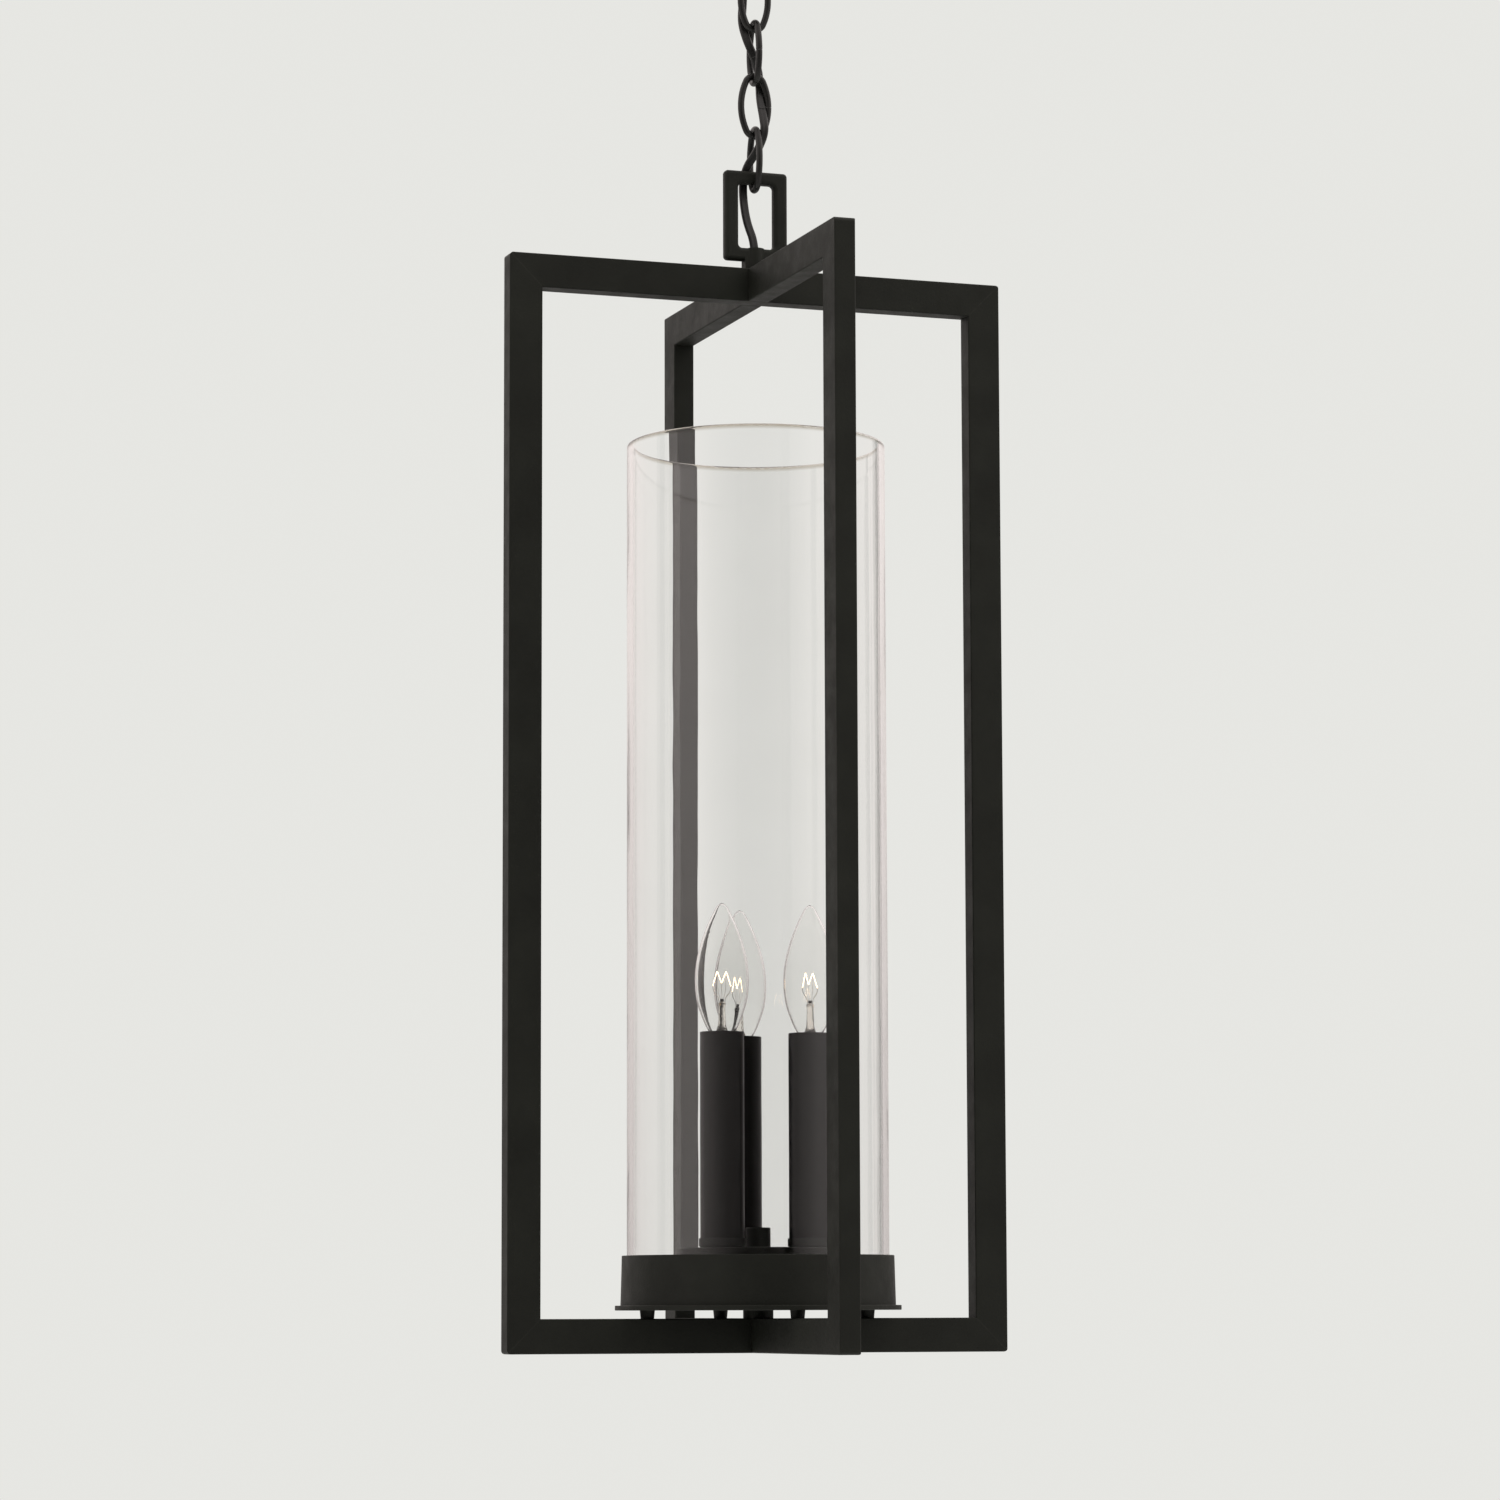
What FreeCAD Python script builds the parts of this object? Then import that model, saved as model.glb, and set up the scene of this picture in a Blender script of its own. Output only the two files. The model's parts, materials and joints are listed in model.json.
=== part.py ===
"""Hanging lantern: an open frame of two crossed rectangular tube loops round a glass
cylinder with three candle lamps, hung on a chain from a ceiling canopy.

Millimetres, +Z up.  The origin is the centre of the mounting strap's top face, which lies
in the plane of the ceiling.  Lantern pieces are drawn from the frame's foot (level 0) and
placed "drop" below the ceiling.
"""
import FreeCAD, Part
import math
import os

import Sketcher

doc = FreeCAD.newDocument("HangingLantern")
sheet = doc.addObject("Spreadsheet::Sheet", "Dim")
sheet.Label = "Dimensions"

DIMENSIONS = [
    ("drop", 925.0, "frame foot below the ceiling"),
    ("frame_width", 314.0, "outside width of each frame loop"),
    ("frame_height", 653.0, "outside height of each frame loop"),
    ("bar_width", 20.4, "tube face seen in the plane of its loop"),
    ("bar_thick", 13.0, "tube size across the plane of its loop"),
    ("tube_wall", 1.5, "wall of the frame tube"),
    ("corner_round", 2.5, "outside corners of the frame loops"),
    ("edge_round", 0.8, "long edges of the frame tube"),
    ("glass_radius", 78.0, "outside radius of the glass cylinder"),
    ("glass_wall", 3.5, "thickness of the glass"),
    ("glass_foot", 29.3, "level of the glass's lower edge"),
    ("glass_top", 545.0, "level of the glass's upper edge"),
    ("glass_rim_round", 1.6, "fire-polished rim of the glass"),
    ("glass_foot_round", 0.8, "ground edges of the glass's foot"),
    ("flange_radius", 85.1, "rim of the cup's floor disc"),
    ("flange_foot", 25.2, "underside of the cup's floor disc"),
    ("flange_top", 28.1, "top of the cup's floor disc"),
    ("cup_foot_radius", 81.8, "cup wall at the floor, outside"),
    ("cup_rim_radius", 81.0, "cup wall at the rim, outside"),
    ("cup_rim", 57.5, "level of the cup's rim"),
    ("cup_wall", 1.2, "sheet thickness of the cup wall"),
    ("cup_round", 0.45, "rounded edges of the cup's rim and floor disc"),
    ("gasket_thick", 1.1, "felt ring under the glass"),
    ("pan_radius", 47.0, "candle pan, outside"),
    ("pan_top", 62.0, "top face of the candle pan"),
    ("pan_wall", 1.2, "sheet thickness of the candle pan"),
    ("spacer_ring", 69.2, "distance of the spacers from the axis"),
    ("spacer_top_radius", 4.45, "spacer where it meets the cup"),
    ("spacer_foot_radius", 4.0, "spacer where it meets the frame"),
    ("hub_radius", 9.0, "hub collar between frame and cup"),
    ("nipple_radius", 4.7, "threaded tube, M10 x 1, outside"),
    ("nipple_bore", 3.2, "threaded tube, bore radius"),
    ("nipple_hole", 4.75, "clearance hole radius for the threaded tube"),
    ("nut_flats", 14.0, "hexagon nut across its flats"),
    ("nut_thick", 3.0, "hexagon nut thickness"),
    ("candle_ring", 32.0, "distance of the candles from the axis"),
    ("candle_radius", 13.0, "candle sleeve, outside"),
    ("sleeve_wall", 1.1, "candle sleeve wall"),
    ("candle_top", 189.0, "level of the sleeve tops"),
    ("base_radius", 13.8, "cup under each sleeve, outside"),
    ("base_high", 5.4, "height of the cup under each sleeve"),
    ("post_top", 142.0, "top of the threaded post inside a candle"),
    ("socket_radius", 10.5, "lamp socket body"),
    ("socket_bore", 6.05, "lamp socket shell, bore radius"),
    ("socket_top", 187.0, "level of the socket's mouth"),
    ("cap_radius", 5.95, "E12 screw cap of the lamp"),
    ("lamp_high", 76.5, "lamp glass above the sleeve"),
    ("lamp_wall", 0.8, "lamp glass thickness"),
    ("loop_width", 40.2, "top loop, outside width"),
    ("loop_foot", 658.4, "underside of the top loop"),
    ("loop_top", 714.0, "top of the top loop"),
    ("loop_side", 8.8, "upright bars of the top loop seen from the front"),
    ("loop_bar", 8.0, "level bars of the top loop seen from the front"),
    ("loop_thick", 7.0, "top loop bar, front to back"),
    ("loop_round", 2.5, "rounded edges of the top loop"),
    ("neck_width", 15.0, "neck under the top loop"),
    ("boss_radius", 5.6, "cord boss on the top loop"),
    ("boss_top", 666.3, "level of the cord boss's mouth"),
    ("boss_bore", 3.0, "cord hole through the boss"),
    ("link_wire", 2.0, "radius of the chain wire"),
    ("link_length", 41.6, "chain link, outside length"),
    ("link_width", 21.5, "chain link, outside width"),
    ("link_end", 6.0, "centreline radius of a link's ends"),
    ("link_gap", 0.3, "play between two links"),
    ("link_slit", 0.6, "butt joint in a link's side"),
    ("hook_level", 703.0, "wire centre of the lowest link's lower end"),
    ("ring_wire", 2.5, "radius of the canopy loop's wire"),
    ("ring_radius", 12.0, "centreline radius of the canopy loop"),
    ("canopy_radius", 63.5, "canopy at the ceiling"),
    ("canopy_deep", 22.0, "canopy below the ceiling"),
    ("canopy_wall", 1.2, "canopy sheet"),
    ("strap_length", 104.0, "mounting strap"),
    ("strap_width", 16.0, "mounting strap"),
    ("strap_thick", 2.0, "mounting strap"),
    ("ground_place", 24.0, "distance of the ground screw from the axis"),
    ("ground_radius", 1.8, "hole for the ground screw"),
    ("stem_foot", -28.0, "lower end of the canopy's threaded tube"),
    ("shoulder_high", 5.0, "height of the canopy's sloped shoulder"),
    ("shoulder_round", 2.2, "rounded edges of the canopy's shoulder"),
    ("collar_high", 6.5, "height of the canopy collar"),
    ("window_width", 5.6, "window in a threaded tube that lets leads out"),
    ("screw_hole", 1.6, "hole radius for the spacer screws"),
    ("screw_radius", 1.5, "spacer screw shank"),
    ("screw_long", 15.0, "spacer screw shank, length"),
    ("lead_radius", 1.1, "insulated lead"),
    ("slot_spacing", 88.9, "between the strap's two slots, ceiling box standard"),
    ("slot_width", 4.6, "slot for a box screw"),
    ("slot_length", 9.0, "slot, end to end"),
    ("cord_radius", 2.2, "twin cord as a round tube of the same section"),
    ("lamp_radius", 15.9, "widest part of the lamp glass"),
]

for row, (alias, value, meaning) in enumerate(DIMENSIONS, start=1):
    sheet.set("A%d" % row, alias)
    sheet.set("B%d" % row, str(value))
    sheet.setAlias("B%d" % row, alias)
    sheet.set("C%d" % row, meaning)
doc.recompute()

subparts = []
LANTERN = "-Dim.drop"


def dim(alias):
    return float(sheet.get(alias))


def finish(piece, label, across="0", along="0", level="0"):
    """Name a sub-part and bind its place to the sheet."""
    piece.Label = label
    piece.setExpression("Placement.Base.x", across)
    piece.setExpression("Placement.Base.y", along)
    piece.setExpression("Placement.Base.z", level)
    subparts.append(piece)
    return piece


def sketch_on(body, role):
    plane = [item for item in body.Origin.OriginFeatures if item.Role == role][0]
    sketch = body.newObject("Sketcher::SketchObject", "Sketch")
    sketch.AttachmentSupport = [(plane, "")]
    sketch.MapMode = "FlatFace"
    return sketch


def add_outline(sketch, corners):
    """Closed outline whose corners are expressions of the sheet's cells."""
    start = sketch.GeometryCount
    count = len(corners)
    places = [(sheet.evalExpression(x), sheet.evalExpression(y)) for x, y in corners]
    for index in range(count):
        first = FreeCAD.Vector(*places[index], 0)
        last = FreeCAD.Vector(*places[(index + 1) % count], 0)
        sketch.addGeometry(Part.LineSegment(first, last), False)
    for index in range(count):
        following = start + (index + 1) % count
        sketch.addConstraint(Sketcher.Constraint("Coincident", start + index, 2, following, 1))
    for index, (x, y) in enumerate(corners):
        for kind, text, value in zip(("DistanceX", "DistanceY"), (x, y), places[index]):
            rule = Sketcher.Constraint(kind, -1, 1, start + index, 1, float(value))
            number = sketch.addConstraint(rule)
            sketch.setExpression("Constraints[%d]" % number, text)


def add_circle(sketch, x, y, radius):
    centre = FreeCAD.Vector(sheet.evalExpression(x), sheet.evalExpression(y), 0)
    size = float(sheet.evalExpression(radius))
    number = sketch.addGeometry(Part.Circle(centre, FreeCAD.Vector(0, 0, 1), size), False)
    rules = (("DistanceX", x, centre.x), ("DistanceY", y, centre.y))
    for kind, text, value in rules:
        rule = sketch.addConstraint(Sketcher.Constraint(kind, -1, 1, number, 3, value))
        sketch.setExpression("Constraints[%d]" % rule, text)
    rule = sketch.addConstraint(Sketcher.Constraint("Radius", number, size))
    sketch.setExpression("Constraints[%d]" % rule, radius)


def turned(name, outline, holes=()):
    """Body turned about Z from (radius, level) corners; holes are through circles."""
    body = doc.addObject("PartDesign::Body", name)
    sketch = sketch_on(body, "XZ_Plane")
    add_outline(sketch, outline)
    turn = body.newObject("PartDesign::Revolution", "Turn")
    turn.Profile = sketch
    turn.ReferenceAxis = (sketch, ["V_Axis"])
    turn.Angle = 360.0
    if holes:
        drill(body, "XY_Plane", holes, "4 * Dim.frame_height")
    return body


def drill(body, role, holes, depth):
    """Cut circles (x, y, radius) straight through, both ways from the plane."""
    sketch = sketch_on(body, role)
    for x, y, radius in holes:
        add_circle(sketch, x, y, radius)
    pocket = body.newObject("PartDesign::Pocket", "Holes")
    pocket.Profile = sketch
    pocket.SideType = "Symmetric"
    pocket.setExpression("Length", depth)


def padded(name, role, outline, thickness):
    """Body padded both ways from a plane."""
    body = doc.addObject("PartDesign::Body", name)
    sketch = sketch_on(body, role)
    add_outline(sketch, outline)
    pad = body.newObject("PartDesign::Pad", "Pad")
    pad.Profile = sketch
    pad.SideType = "Symmetric"
    pad.setExpression("Length", thickness)
    return body


def round_edges(body, radius, wanted):
    """Fillet the edges of the body's tip for which wanted(edge) is true."""
    doc.recompute()
    tip = body.Tip
    numbered = enumerate(tip.Shape.Edges, start=1)
    names = ["Edge%d" % number for number, edge in numbered if wanted(edge)]
    fillet = body.newObject("PartDesign::Fillet", "Round")
    fillet.Base = (tip, names)
    fillet.setExpression("Radius", radius)


def shaped(name, shape):
    piece = doc.addObject("Part::Feature", name)
    piece.Shape = shape
    return piece


def cylinder(name, radius, height, across="0", along="0", level="0"):
    piece = doc.addObject("Part::Cylinder", name)
    piece.setExpression("Radius", radius)
    piece.setExpression("Height", height)
    piece.setExpression("Placement.Base.x", across)
    piece.setExpression("Placement.Base.y", along)
    piece.setExpression("Placement.Base.z", level)
    return piece


def minus(name, base, tool):
    piece = doc.addObject("Part::Cut", name)
    piece.Base = base
    piece.Tool = tool
    return piece


def fused(name, base, tool):
    piece = doc.addObject("Part::Fuse", name)
    piece.Base = base
    piece.Tool = tool
    return piece


def compound(name, pieces):
    piece = doc.addObject("Part::Compound", name)
    piece.Links = pieces
    return piece


def tube(points, radius, label, bend=None):
    """Round tube along straight runs joined by tangent arcs at the inner points.

    The arcs are as large as the runs allow, or of the radius "bend" inside the frame tubes.
    """
    corners = [FreeCAD.Vector(*point) for point in points]
    edges = []
    radii = []
    here = corners[0]
    for before, corner, after in zip(corners, corners[1:], corners[2:]):
        back = (before - corner).normalize()
        ahead = (after - corner).normalize()
        half_turn = (math.pi - back.getAngle(ahead)) / 2
        shorter = min((before - corner).Length, (after - corner).Length)
        reach = 0.45 * shorter
        if bend:
            reach = min(reach, bend * math.tan(half_turn))
        radii.append(reach / math.tan(half_turn))
        enter = corner + back * reach
        leave = corner + ahead * reach
        middle_way = (back + ahead).normalize()
        to_centre = radii[-1] / math.cos(half_turn)
        middle = corner + middle_way * (to_centre - radii[-1])
        edges.append(Part.LineSegment(here, enter).toShape())
        edges.append(Part.Arc(enter, middle, leave).toShape())
        here = leave
    edges.append(Part.LineSegment(here, corners[-1]).toShape())
    path = Part.Wire(edges)
    first_way = corners[1] - corners[0]
    section = Part.Wire([Part.Circle(corners[0], first_way, radius).toShape()])
    solid = path.makePipeShell([section], True, True)
    ratio = solid.Volume / (math.pi * radius ** 2 * path.Length)
    print("%s length %.1f radii %s section ratio %.4f"
          % (label, path.Length, [round(value, 1) for value in radii], ratio))
    return solid


# ---------------------------------------------------------------- ceiling fittings

def make_strap():
    outline = [("-Dim.strap_length / 2", "-Dim.strap_width / 2"),
               ("Dim.strap_length / 2", "-Dim.strap_width / 2"),
               ("Dim.strap_length / 2", "Dim.strap_width / 2"),
               ("-Dim.strap_length / 2", "Dim.strap_width / 2")]
    body = doc.addObject("PartDesign::Body", "Strap")
    sketch = sketch_on(body, "XY_Plane")
    add_outline(sketch, outline)
    add_circle(sketch, "0", "0", "Dim.nipple_hole")
    add_circle(sketch, "Dim.ground_place", "0", "Dim.ground_radius")
    pad = body.newObject("PartDesign::Pad", "Pad")
    pad.Profile = sketch
    pad.Reversed = True
    pad.setExpression("Length", "Dim.strap_thick")
    slots = sketch_on(body, "XY_Plane")
    half = "(Dim.slot_length - Dim.slot_width) / 2"
    for side in ("-", ""):
        middle = side + "Dim.slot_spacing / 2"
        add_outline(slots, [(middle + " - " + half, "-Dim.slot_width / 2"),
                            (middle + " + " + half, "-Dim.slot_width / 2"),
                            (middle + " + " + half, "Dim.slot_width / 2"),
                            (middle + " - " + half, "Dim.slot_width / 2")])
    pocket = body.newObject("PartDesign::Pocket", "Slots")
    pocket.Profile = slots
    pocket.SideType = "Symmetric"
    pocket.setExpression("Length", "4 * Dim.strap_thick")
    ends = []
    for side in ("-", ""):
        for end in (" - ", " + "):
            ends.append((side + "Dim.slot_spacing / 2" + end + half, "0", "Dim.slot_width / 2"))
    for place in ends:
        drill(body, "XY_Plane", [place], "4 * Dim.strap_thick")
    finish(body, "mounting_strap")


def make_canopy():
    wall = "Dim.canopy_wall"
    deep = "-Dim.canopy_deep"
    shoulder = deep + " + Dim.shoulder_high"
    outline = [("Dim.nipple_hole", deep),
               ("Dim.canopy_radius * 0.62", deep),
               ("Dim.canopy_radius * 0.86", shoulder),
               ("Dim.canopy_radius - 1.5", "-6"),
               ("Dim.canopy_radius", "-0.6"),
               ("Dim.canopy_radius - " + wall, "-0.6"),
               ("Dim.canopy_radius - 1.5 - " + wall, "-6"),
               ("Dim.canopy_radius * 0.86 - 0.8 * " + wall, shoulder + " + 0.9 * " + wall),
               ("Dim.canopy_radius * 0.62 - 0.2 * " + wall, deep + " + " + wall),
               ("Dim.nipple_hole", deep + " + " + wall)]
    body = turned("Canopy", outline)
    levels = (-dim("canopy_deep"), dim("shoulder_high") - dim("canopy_deep"))

    def shoulder_circle(edge):
        box = edge.BoundBox
        wide = box.XLength > dim("canopy_radius")
        return wide and box.ZLength < 0.1 and min(abs(box.ZMin - level) for level in levels) < 0.1

    round_edges(body, "Dim.shoulder_round", shoulder_circle)
    finish(body, "canopy")


def hexagon(name, flats, height, across="0", along="0", level="0"):
    piece = doc.addObject("Part::Prism", name)
    piece.Polygon = 6
    piece.setExpression("Circumradius", flats + " / sqrt(3)")
    piece.setExpression("Height", height)
    piece.setExpression("Placement.Base.x", across)
    piece.setExpression("Placement.Base.y", along)
    piece.setExpression("Placement.Base.z", level)
    return piece


def nut(name, across="0", along="0", level="0"):
    """Hexagon nut on the threaded tube, its underside at the level given."""
    block = hexagon(name + "Block", "Dim.nut_flats", "Dim.nut_thick", across, along, level)
    bore = cylinder(name + "Bore", "Dim.nipple_hole", "Dim.nut_thick", across, along, level)
    return minus(name, block, bore)


def make_ceiling_fittings():
    make_strap()
    make_canopy()
    stem = turned("CanopyTube", [("Dim.nipple_bore", "Dim.stem_foot"), ("Dim.nipple_radius", "Dim.stem_foot"),
                                 ("Dim.nipple_radius", "0"), ("Dim.nipple_bore", "0")])
    window = lead_window("LeadWindow", "12", "-17")
    finish(minus("CanopyStem", stem, window), "canopy_nipple")
    finish(nut("StrapNut", level="-Dim.strap_thick - Dim.nut_thick"), "strap_locknut")
    rim = "-Dim.canopy_deep"
    collar_foot = rim + " - Dim.collar_high"
    collar = turned("Collar", [("Dim.nipple_hole", rim), ("13", rim), ("14", rim + " - 1"),
                               ("14", collar_foot + " + 1.5"), ("12.5", collar_foot),
                               ("Dim.nipple_hole", collar_foot)])
    finish(collar, "canopy_collar")
    make_canopy_loop()
    strap_foot = "-Dim.strap_thick"
    head = cylinder("GroundHead", "3.6", "1.8", "Dim.ground_place", "0", strap_foot + " - 1.8")
    shank = cylinder("GroundShank", "1.75", "Dim.strap_thick", "Dim.ground_place", "0", strap_foot)
    finish(fused("GroundScrew", head, shank), "ground_screw")


def lead_window(name, height, level):
    """Block that cuts both sides of the threaded tube to let the leads out."""
    window = doc.addObject("Part::Box", name)
    window.setExpression("Length", "Dim.window_width")
    window.setExpression("Width", "4 * Dim.nipple_radius")
    window.setExpression("Height", height)
    window.setExpression("Placement.Base.x", "-Dim.window_width / 2")
    window.setExpression("Placement.Base.y", "-2 * Dim.nipple_radius")
    window.setExpression("Placement.Base.z", level)
    return window


def make_canopy_loop():
    """Threaded stub with a ring under it, in the XZ plane, for the first link."""
    ring_centre = loop_ring_level()
    ring = Part.makeTorus(dim("ring_radius"), dim("ring_wire"))
    ring.rotate(FreeCAD.Vector(0, 0, 0), FreeCAD.Vector(1, 0, 0), 90)
    ring.translate(FreeCAD.Vector(0, 0, ring_centre))
    top = -dim("canopy_deep") - dim("collar_high")
    foot = ring_centre + dim("ring_radius") - dim("ring_wire")
    stub = Part.makeCone(5.0, 8.5, top - foot, FreeCAD.Vector(0, 0, foot))
    bore = Part.makeCylinder(dim("boss_bore"), 60, FreeCAD.Vector(0, 0, foot - 2))
    body = ring.fuse(stub).cut(bore).removeSplitter()
    piece = shaped("CanopyLoop", body)
    finish(piece, "canopy_loop")


def loop_ring_level():
    """Centre of the canopy ring, found up the chain from the lowest link."""
    link_pitch = dim("link_length") - 4 * dim("link_wire") - dim("link_gap")
    first_top = dim("hook_level") + 4 * link_pitch + dim("link_length") - 2 * dim("link_wire")
    ring_foot = first_top - dim("link_wire") - dim("ring_wire") - dim("link_gap")
    return ring_foot + dim("ring_radius") - dim("drop")


def make_canopy_wiring():
    """Wire caps and leads folded up inside the canopy."""
    caps = []
    leads = []
    for number, side in enumerate((-1, 1)):
        mouth = FreeCAD.Vector(14, side * 24, -11)
        cap = Part.makeCone(5.2, 3.6, 17, mouth, FreeCAD.Vector(1, 0, 0))
        caps.append(shaped("Cap%d" % number, cap))
        route = [(0, side * 1.3, -18), (0, side * 1.6, -12.5), (-2.0, side * 9, -9.5),
                 (-6, side * 17, -10), (1, side * 24, -11), (14, side * 24, -11)]
        leads.append(shaped("CanopyLead%d" % number, tube(route, dim("lead_radius"), "canopy lead")))
    finish(compound("Caps", caps), "canopy_connectors")
    finish(compound("CanopyLeads", leads), "canopy_leads")


# ---------------------------------------------------------------- chain

def make_chain():
    """Five links, turned a quarter in turn; the first is the highest."""
    wire = dim("link_wire")
    half_long = dim("link_length") / 2 - wire
    half_wide = dim("link_width") / 2 - wire
    end = dim("link_end")
    reach = half_long - end
    side = (reach ** 2 + half_wide ** 2 - end ** 2) / (2 * (half_wide - end))
    turn = math.atan2(reach, side - half_wide)
    pitch = 2 * half_long - 2 * wire - dim("link_gap")
    join_x = end * math.cos(turn)
    join_z = reach + end * math.sin(turn)
    point = FreeCAD.Vector
    arcs = [Part.Arc(point(join_x, 0, join_z), point(0, 0, half_long), point(-join_x, 0, join_z)),
            Part.Arc(point(-join_x, 0, join_z), point(-half_wide, 0, 0), point(-join_x, 0, -join_z)),
            Part.Arc(point(-join_x, 0, -join_z), point(0, 0, -half_long), point(join_x, 0, -join_z)),
            Part.Arc(point(join_x, 0, -join_z), point(half_wide, 0, 0), point(join_x, 0, join_z))]
    path = Part.Wire([arc.toShape() for arc in arcs])
    section = Part.Wire([Part.Circle(point(join_x, 0, join_z), path.Edges[0].tangentAt(
        path.Edges[0].FirstParameter), wire).toShape()])
    slit = Part.makeBox(4 * wire, 4 * wire, dim("link_slit"),
                        point(half_wide - 2 * wire, -2 * wire, -dim("link_slit") / 2))
    ring = path.makePipeShell([section], True, False)
    open_ring = ring.cut(slit)
    for number in range(1, 6):
        link = shaped("Link%d" % number, open_ring.copy())
        quarter = 90 if number % 2 else 0
        half_turn = 180 if number in (2, 3) else 0
        link.Placement = FreeCAD.Placement(FreeCAD.Vector(0, 0, 0),
                                           FreeCAD.Rotation(quarter + half_turn, 0, 0))
        level = dim("hook_level") + (5 - number) * pitch + half_long
        finish(link, "chain_link_%d" % number, level="%.4f - Dim.drop" % level)


# ---------------------------------------------------------------- frame

def mitred_bar(role, flat, inside):
    """Hollow tube of a frame loop, from the four corners of its outline and of its hollow."""
    body = padded("Bar", role, flat, "Dim.bar_thick")
    hollow = sketch_on(body, role)
    add_outline(hollow, inside)
    pocket = body.newObject("PartDesign::Pocket", "Hollow")
    pocket.Profile = hollow
    pocket.SideType = "Symmetric"
    pocket.setExpression("Length", "Dim.bar_thick - 2 * Dim.tube_wall")
    half = dim("bar_thick") / 2

    def long_outer(edge):
        middle = edge.BoundBox.Center
        offset = middle.y if role == "XZ_Plane" else middle.x
        return edge.Length > 100 and abs(abs(offset) - half) < 0.01

    round_edges(body, "Dim.edge_round", long_outer)
    return body


def upright(side):
    """Corners of a leg and of its hollow, on the side given by "-" or ""."""
    edge = side + "Dim.frame_width / 2"
    back = " + " if side else " - "
    flat = [(edge, "0"), (edge, "Dim.frame_height"),
            (edge + back + "Dim.bar_width", "Dim.frame_height - Dim.bar_width"),
            (edge + back + "Dim.bar_width", "Dim.bar_width")]
    inset = "Dim.tube_wall"
    deep = "(Dim.bar_width - Dim.tube_wall)"
    hollow = [(edge + back + inset, inset), (edge + back + inset, "Dim.frame_height - " + inset),
              (edge + back + deep, "Dim.frame_height - " + deep), (edge + back + deep, deep)]
    return flat, hollow


def crossbar(at_top, start):
    """Corners of a level bar and its hollow.

    start is "-" or "" for a half bar from the crossing to that side, or None for the whole
    width of the loop.
    """
    outer = "Dim.frame_height" if at_top else "0"
    inward = " - " if at_top else " + "
    deep = "(Dim.bar_width - Dim.tube_wall)"
    inset = "Dim.tube_wall"
    right = "Dim.frame_width / 2"
    if start is None:
        flat = [("-" + right, outer), (right, outer),
                (right + " - Dim.bar_width", outer + inward + "Dim.bar_width"),
                ("-" + right + " + Dim.bar_width", outer + inward + "Dim.bar_width")]
        hollow = [("-" + right + " + " + inset, outer + inward + inset),
                  (right + " - " + inset, outer + inward + inset),
                  (right + " - " + deep, outer + inward + deep),
                  ("-" + right + " + " + deep, outer + inward + deep)]
        return flat, hollow
    edge = start + right
    back = " + " if start else " - "
    near = start + "Dim.bar_thick / 2"
    flat = [(near, outer), (edge, outer),
            (edge + back + "Dim.bar_width", outer + inward + "Dim.bar_width"),
            (near, outer + inward + "Dim.bar_width")]
    hollow = [(near, outer + inward + inset), (edge + back + inset, outer + inward + inset),
              (edge + back + deep, outer + inward + deep), (near, outer + inward + deep)]
    return flat, hollow


def corner_envelope(role):
    """Solid block of a whole loop with its four outside corners rounded."""
    body = padded("Envelope", role, [("-Dim.frame_width / 2", "0"), ("Dim.frame_width / 2", "0"),
                                     ("Dim.frame_width / 2", "Dim.frame_height"),
                                     ("-Dim.frame_width / 2", "Dim.frame_height")], "Dim.bar_thick")
    round_edges(body, "Dim.corner_round", lambda edge: edge.Length < 20)
    return body


def make_frame():
    plans = [
        ("XZ_Plane", "frame_a_left_leg", upright("-")),
        ("XZ_Plane", "frame_a_right_leg", upright("")),
        ("XZ_Plane", "frame_a_top_bar", crossbar(True, None)),
        ("XZ_Plane", "frame_a_bottom_bar", crossbar(False, None)),
        ("YZ_Plane", "frame_b_front_leg", upright("-")),
        ("YZ_Plane", "frame_b_back_leg", upright("")),
        ("YZ_Plane", "frame_b_top_front_bar", crossbar(True, "-")),
        ("YZ_Plane", "frame_b_top_back_bar", crossbar(True, "")),
        ("YZ_Plane", "frame_b_bottom_front_bar", crossbar(False, "-")),
        ("YZ_Plane", "frame_b_bottom_back_bar", crossbar(False, "")),
    ]
    for role, label, (flat, hollow) in plans:
        bar = mitred_bar(role, flat, hollow)
        rounded = doc.addObject("Part::Common", "Rounded")
        rounded.Base = bar
        rounded.Tool = corner_envelope(role)
        piece = rounded
        if label == "frame_a_top_bar":
            piece = minus("TopHole", rounded, cylinder("Bush", "Dim.nipple_hole", "10", "0", "0",
                                                       "Dim.frame_height - 5"))
        if label == "frame_a_bottom_bar":
            piece = minus("HubHole", rounded, cylinder("Hub", "Dim.nipple_hole", "10", "0", "0",
                                                       "Dim.bar_width - 5"))
            piece = screw_holes(piece, ((1, 0), (-1, 0)))
        if label == "frame_b_bottom_front_bar":
            piece = screw_holes(piece, ((0, -1),))
        if label == "frame_b_bottom_back_bar":
            piece = screw_holes(piece, ((0, 1),))
        finish(piece, label, level=LANTERN)


def screw_holes(piece, directions):
    for way_x, way_y in directions:
        hole = cylinder("ScrewHole", "Dim.screw_hole", "60", "%d * Dim.spacer_ring" % way_x,
                        "%d * Dim.spacer_ring" % way_y, "-5")
        piece = minus("Drilled", piece, hole)
    return piece


# ---------------------------------------------------------------- top loop and cord

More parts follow.
